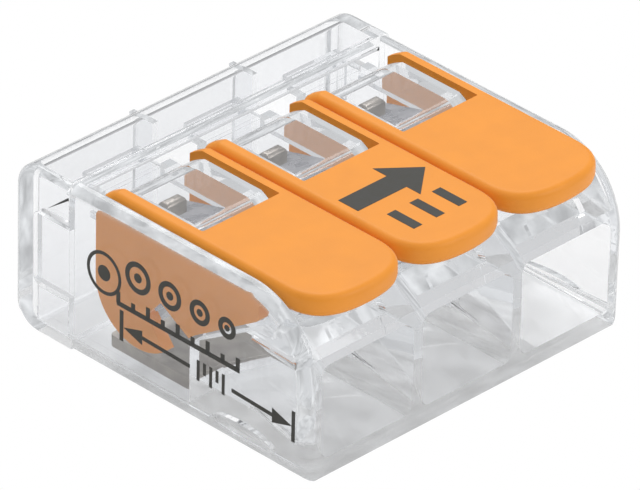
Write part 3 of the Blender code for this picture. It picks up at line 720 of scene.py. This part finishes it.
def makeLever(top):
    shape = leverShape
    half = shape["half"]
    lever = drawPiece("lever_moulding", leverSideOutline(top), -half, half)
    tip = drawPiece("tip", tipOutline(), -2.0, 12.0, plane="plan")
    combine(lever, tip, "INTERSECT")
    cleanFlats(lever, 0.3)

    def rimEdge(first, second):
        # Along the top's outline and down the hooks, but not across them.
        high = min(first.z, second.z) > 9.3
        across = abs(first.x - second.x) > 2 * half - 0.1
        upright = abs(first.z - second.z) > 1.0
        return high and not across and not upright

    def underEdge(first, second):
        low = max(abs(first.z - shape["under"]), abs(second.z - shape["under"])) < 0.02
        ahead = min(first.y, second.y) < shape["webFront"] - 0.05
        return low and ahead and abs(first.x - second.x) < half

    roundEdges(lever, rimEdge, shape["topRound"], 5)
    roundEdges(lever, underEdge, shape["underRound"], 3)
    window = shape["windowY"]
    start = 180 - math.degrees(math.asin((shape["under"] - pivot.y) / shape["sweep"]))
    end = 180 - math.degrees(math.acos((pivot.x - window) / shape["sweep"]))
    inside = ([(leverLow.y - past, shape["under"])] + arcPoints(pivot, shape["sweep"], start, end, 4)
              + [(window, top + past), (9.0, top + past), (9.0, -past), (leverLow.y - past, -past)])
    cell = drawPiece("cell", inside, -shape["cellHalf"], shape["cellHalf"])

    def windowCorner(first, second):
        atWindow = max(abs(first.y - window), abs(second.y - window)) < 0.01
        return atWindow and min(first.z, second.z) > 8.9 and abs(first.x - second.x) < 0.01

    roundEdges(cell, windowCorner, shape["windowRound"], 5)
    combine(lever, cell)
    notch = drawPiece("notch", [tuple(point) for point in notchOutline()], -4.0, 4.0)
    combine(lever, notch)
    softenEdges(lever, shape["softEdge"], 3)
    setMaterial(lever, finishes["lever"])
    return lever


def makeLevers():
    first = makeLever(leverHigh.z - inkDepth)
    for index, centre in enumerate(poles):
        lever = copyPiece(first, f"lever_moulding_{index + 1}", (centre, 0.0, 0.0))
        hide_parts(f"lever_{index + 1}")
        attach(lever, f"lever_body_{index + 1}")
    print("levers done", len(first.data.polygons))
    bpy.data.objects.remove(first, do_unlink=True)


# Springs and current bar.
springShape = {
    "thick": 0.35, "width": 3.2, "radius": 0.7, "slope": 50, "flat": 1.45, "rearSlope": 15,
    "rearEnd": 4.4, "tabStart": 1.9, "tabLength": 0.6, "tabReach": 3.2, "tabThick": 0.94,
    "holeLow": (-0.95, 2.95, 6.8), "holeHigh": (0.95, 4.05, 9.6), "softEdge": 0.04,
}


def makeSprings(barTop):
    # One strip for each pole: the contact leg, the front bend and the clamping leg, in one piece.
    shape = springShape
    slope = math.radians(shape["slope"])
    start = bend + Vector((-math.sin(slope), -math.cos(slope))) * shape["radius"]
    length = (start.y - barTop - 0.3 - shape["thick"] / 2) / math.sin(slope)
    tip = start + Vector((math.cos(slope), -math.sin(slope))) * length
    bendArc = arcPoints(bend, shape["radius"], 180 + 90 - shape["slope"], 90, 16)
    flatEnd = Vector((bend.x + shape["flat"], bend.y + shape["radius"]))
    drop = (shape["rearEnd"] - flatEnd.x) * math.tan(math.radians(shape["rearSlope"]))
    rearEnd = Vector((shape["rearEnd"], flatEnd.y - drop))
    legSteps = [start + (tip - start) * step / 8 for step in range(8, 0, -1)]
    line = legSteps + [Vector(point) for point in bendArc] + [flatEnd, rearEnd]
    left, right = [], []
    for index, point in enumerate(line):
        before = line[max(index - 1, 0)]
        after = line[min(index + 1, len(line) - 1)]
        along = (after - before).normalized()
        across = Vector((-along.y, along.x)) * shape["thick"] / 2
        left.append(tuple(point + across))
        right.append(tuple(point - across))
    half = shape["width"] / 2
    spring = drawPiece("spring", left + right[::-1], -half, half)
    # Tabs to both sides of the clamping leg, for the lever's notch.
    along = Vector((math.cos(slope), -math.sin(slope)))
    across = Vector((-along.y, along.x)) * shape["thick"] * shape["tabThick"] / 2
    near = start + along * shape["tabStart"]
    far = near + along * shape["tabLength"]
    corners = (near + across, far + across, far - across, near - across)
    tab = drawPiece("tab", [tuple(corner) for corner in corners], -shape["tabReach"], shape["tabReach"])
    combine(spring, tab, "UNION")
    combine(spring, addBlock("fingerHole", shape["holeLow"], shape["holeHigh"]))
    softenEdges(spring, shape["softEdge"], 2)
    setMaterial(spring, finishes["spring"])
    for index, centre in enumerate(poles):
        made = copyPiece(spring, f"spring_strip_{index + 1}", (centre, 0.0, 0.0))
        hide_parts(f"clamping_spring_{index + 1}", f"clamping_leg_{index + 1}")
        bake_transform(made)
    bpy.data.objects.remove(spring, do_unlink=True)
    print("springs done")


barShape = {
    "thick": 0.7, "frameY": 3.2, "frameHalf": 2.35, "post": 0.4, "windowTop": 6.05, "top": 6.75,
    "finger": 0.7, "fingerTop": 8.3, "cornerRound": 0.3, "fingerRound": 0.22, "softEdge": 0.09,
}


def makeBar():
    shape = barShape
    top = barLow.z + shape["thick"]
    bar = addBlock("current_bar", (barLow.x, barLow.y, barLow.z), (barHigh.x, barHigh.y, top))
    roundEdges(bar, lambda a, b: abs(a.z - b.z) > 0.3, shape["cornerRound"], 4)
    half, inner = shape["frameHalf"], shape["frameHalf"] - shape["post"]
    foot = top - 0.3
    outline = [(-half, foot), (-inner, foot), (-inner, shape["windowTop"]), (inner, shape["windowTop"]),
               (inner, foot), (half, foot), (half, shape["top"]), (shape["finger"], shape["top"]),
               (shape["finger"], shape["fingerTop"]), (-shape["finger"], shape["fingerTop"]),
               (-shape["finger"], shape["top"]), (-half, shape["top"])]
    for centre in poles:
        points = [(centre + x, z) for x, z in outline]
        post = drawPiece("frame", points, shape["frameY"], shape["frameY"] + shape["thick"], plane="face")
        combine(bar, post, "UNION")
    roundEdges(bar, lambda a, b: min(a.z, b.z) > shape["fingerTop"] - 0.05, shape["fingerRound"], 4)
    softenEdges(bar, shape["softEdge"], 3)
    setMaterial(bar, finishes["tin"])
    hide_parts("busbar")
    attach(bar, "connector_body")
    print("current bar done")
    return top


# Printed marks.
def inkStroke(first, second, width):
    # A straight printed line as an outline of four corners.
    first, second = Vector(first), Vector(second)
    along = (second - first).normalized()
    across = Vector((-along.y, along.x)) * width / 2
    return [tuple(first + across), tuple(second + across), tuple(second - across), tuple(first - across)]


def sideMark(name, outlines):
    pieces = [drawPiece(name, outline, -housingHigh.x, -sideOut) for outline in outlines]
    made = joinPieces(name, pieces)
    setMaterial(made, finishes["ink"])
    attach(made, "connector_body")
    return made


def ringOutline(centre, radius, width):
    # A ring with a hair-thin cut, so that it is one outline.
    outer = arcPoints(centre, radius, 90, 449.5, 28)
    inner = arcPoints(centre, radius - width, 449.5, 90, 28)
    return outer + inner


gaugeShape = {"start": 2.65, "end": -9.68, "z": 3.33, "line": 0.224, "head": 1.5,
              "ticks": 5, "firstTick": -2.9, "tickStep": 0.45, "tickWidth": 0.2}


def makeGauge():
    # A strip-length gauge: two arrows away from a row of ticks, each up to an end bar.
    shape = gaugeShape
    z = shape["z"]
    gauge = [inkStroke((shape["start"], z + 0.95), (shape["start"], z - 0.85), 0.26)]
    gauge.append([(shape["start"] - 0.15, z), (shape["start"] - shape["head"], z + 0.42),
                  (shape["start"] - shape["head"], z - 0.42)])
    gauge.append(inkStroke((shape["start"] - shape["head"], z), (-2.3, z - 0.08), shape["line"]))
    gauge.append(inkStroke((-5.3, z - 0.1), (shape["end"] + shape["head"], z - 0.2), shape["line"]))
    gauge.append([(shape["end"] + 0.1, z - 0.22), (shape["end"] + shape["head"], z + 0.22),
                  (shape["end"] + shape["head"], z - 0.64)])
    gauge.append(inkStroke((shape["end"], z + 0.7), (shape["end"], z - 1.1), 0.24))
    for tick in range(shape["ticks"]):
        place = shape["firstTick"] - shape["tickStep"] * tick
        foot = z - 0.65 if tick % 2 == 0 else z - 0.15
        gauge.append(inkStroke((place, z + 0.55), (place, foot), shape["tickWidth"]))
    sideMark("gauge_print", gauge)


sizeSigns = {
    "bigMiddle": (3.95, 5.9), "bigRadius": 1.25, "bigLine": 0.2, "bigDot": 0.45,
    "height": 6.7, "rings": ((1.5, 0.92), (-0.8, 0.82), (-2.95, 0.72), (-4.9, 0.62)),
    "ringLine": 0.3, "dotShare": 0.3,
    "rulerZ": 4.6, "rulerEnds": (3.0, -5.84), "ticks": 9, "firstTick": 2.9, "tickStep": 1.075, "line": 0.28,
}


def makeSizeSigns():
    # Rings with dots for wire sizes, above a ticked ruler.
    shape = sizeSigns
    signs = [ringOutline(shape["bigMiddle"], shape["bigRadius"], shape["bigLine"]),
             arcPoints(shape["bigMiddle"], shape["bigDot"], 0, 337.5, 15)]
    for y, radius in shape["rings"]:
        centre = (y, shape["height"])
        signs.append(ringOutline(centre, radius, shape["ringLine"]))
        signs.append(arcPoints(centre, radius * shape["dotShare"], 0, 330, 11))
    z = shape["rulerZ"]
    first, last = shape["rulerEnds"]
    signs.append(inkStroke((first, z), (last, z), shape["line"]))
    for tick in range(shape["ticks"]):
        place = shape["firstTick"] - shape["tickStep"] * tick
        signs.append(inkStroke((place, 5.3 if tick % 2 == 0 else 5.05), (place, z), shape["line"]))
    sideMark("size_print", signs)


leverSigns = {
    "arrow": ((-2.75, -3.9), (0.7, -3.9), (0.7, -2.9), (2.75, -4.6), (0.7, -6.3), (0.7, -5.3), (-2.75, -5.3)),
    "bars": (-1.6, 0.0, 1.6), "barHalf": 0.3, "barRear": -6.5, "barFront": -8.4,
}


def makeLeverSigns():
    # Middle lever: an open arrow over three bars, both plain signs.
    shape = leverSigns
    low, high = leverHigh.z - inkDepth, leverHigh.z
    half, rear, ahead = shape["barHalf"], shape["barRear"], shape["barFront"]
    outlines = [shape["arrow"]]
    for x in shape["bars"]:
        outlines.append([(x - half, rear), (x + half, rear), (x + half, ahead), (x - half, ahead)])
    pieces = [drawPiece("lever_print", [(poles[1] + x, y) for x, y in outline], low, high, plane="plan")
              for outline in outlines]
    made = joinPieces("lever_print", pieces)
    setMaterial(made, finishes["ink"])
    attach(made, "lever_body_2")


makeHousing()
makeCover()
makeLevers()
barTop = makeBar()
makeSprings(barTop)
makeGauge()
makeSizeSigns()
makeLeverSigns()
print("marks done")


# Floor, light, camera.
floorLook = {"size": 1.2, "tone": (0.80, 0.80, 0.80), "glow": (1.0, 0.995, 0.985, 1.0), "glowStrength": 0.14}
worldLook = {"strength": 0.8, "horizon": (0.22, 0.225, 0.24, 1.0), "sky": (1.0, 1.0, 1.0, 1.0),
             "skyFrom": 0.6}
cameraView = {"azimuth": -45.434, "elevation": 31.639, "roll": 1.336, "aimRight": -0.013, "aimUp": -0.391,
              "aimHeight": 5.0, "distance": 460.03, "lens": 508.6, "sensor": 36.0}


def makeFloor():
    deselectAll()
    bpy.ops.mesh.primitive_plane_add(size=floorLook["size"])
    floor = bpy.context.object
    floor.name = "table"
    made, shader = newFinish("paleTable", floorLook["tone"])
    addGrain(made, shader, {"Grain Scale": 400.0, "Wave Scale": 20.0, "Strength": 0.05,
                            "Rough Low": 0.55, "Rough High": 0.65})
    # Seen directly the table is plain white paper; through the plastic it keeps its own soft shading.
    nodes, links = made.node_tree.nodes, made.node_tree.links
    path = nodes.new("ShaderNodeLightPath")
    shader.inputs["Emission Color"].default_value = floorLook["glow"]
    shader.inputs["Emission Strength"].default_value = floorLook["glowStrength"]
    paper = nodes.new("ShaderNodeEmission")
    mix = nodes.new("ShaderNodeMixShader")
    links.new(path.outputs["Is Camera Ray"], mix.inputs["Fac"])
    links.new(shader.outputs["BSDF"], mix.inputs[1])
    links.new(paper.outputs["Emission"], mix.inputs[2])
    links.new(mix.outputs["Shader"], nodes["Material Output"].inputs["Surface"])
    setMaterial(floor, made)


def addSoftbox(name, place, size, power):
    light = bpy.data.lights.new(name, "AREA")
    light.shape = "RECTANGLE"
    light.size, light.size_y = size
    light.energy = power
    obj = bpy.data.objects.new(name, light)
    bpy.context.scene.collection.objects.link(obj)
    obj.location = place
    middle = Vector((0.0, 0.0, 5.0)) * mm
    obj.rotation_euler = (middle - Vector(place)).to_track_quat("-Z", "Y").to_euler()


def makeWorld():
    world = bpy.data.worlds.new("studio")
    world.use_nodes = True
    nodes, links = world.node_tree.nodes, world.node_tree.links
    nodes.clear()
    out = nodes.new("ShaderNodeOutputWorld")
    back = nodes.new("ShaderNodeBackground")
    back.inputs["Strength"].default_value = worldLook["strength"]
    where = nodes.new("ShaderNodeTexCoord")
    split = nodes.new("ShaderNodeSeparateXYZ")
    ramp = nodes.new("ShaderNodeValToRGB")
    ramp.color_ramp.elements[0].position = 0.0
    ramp.color_ramp.elements[0].color = worldLook["horizon"]
    ramp.color_ramp.elements[1].position = worldLook["skyFrom"]
    ramp.color_ramp.elements[1].color = worldLook["sky"]
    links.new(where.outputs["Generated"], split.inputs["Vector"])
    links.new(split.outputs["Z"], ramp.inputs["Fac"])
    links.new(ramp.outputs["Color"], back.inputs["Color"])
    links.new(back.outputs["Background"], out.inputs["Surface"])
    bpy.context.scene.world = world


def makeCamera():
    view = cameraView
    azimuth, elevation, roll = (math.radians(view[key]) for key in ("azimuth", "elevation", "roll"))
    back = Vector((math.sin(azimuth) * math.cos(elevation), -math.cos(azimuth) * math.cos(elevation),
                   math.sin(elevation)))
    right = Vector((math.cos(azimuth), math.sin(azimuth), 0.0))
    up = back.cross(right)
    rolledRight = right * math.cos(roll) + up * math.sin(roll)
    rolledUp = up * math.cos(roll) - right * math.sin(roll)
    aim = (right * view["aimRight"] + up * view["aimUp"] + Vector((0.0, 0.0, view["aimHeight"]))) * mm
    data = bpy.data.cameras.new("camera")
    data.sensor_width = view["sensor"]
    data.lens = view["lens"]
    data.clip_start = 0.01
    data.clip_end = 10.0
    camera = bpy.data.objects.new("camera", data)
    bpy.context.scene.collection.objects.link(camera)
    turn = Matrix((rolledRight, rolledUp, back)).transposed().to_4x4()
    camera.matrix_world = Matrix.Translation(aim + back * view["distance"] * mm) @ turn
    bpy.context.scene.camera = camera


makeFloor()
makeWorld()
addSoftbox("keyLight", (0.08, 0.10, 0.22), (0.18, 0.18), 0.26)
addSoftbox("frontLight", (0.10, -0.22, 0.12), (0.14, 0.10), 0.15)
makeCamera()
bpy.context.scene.view_settings.view_transform = "Standard"
print("studio ready")
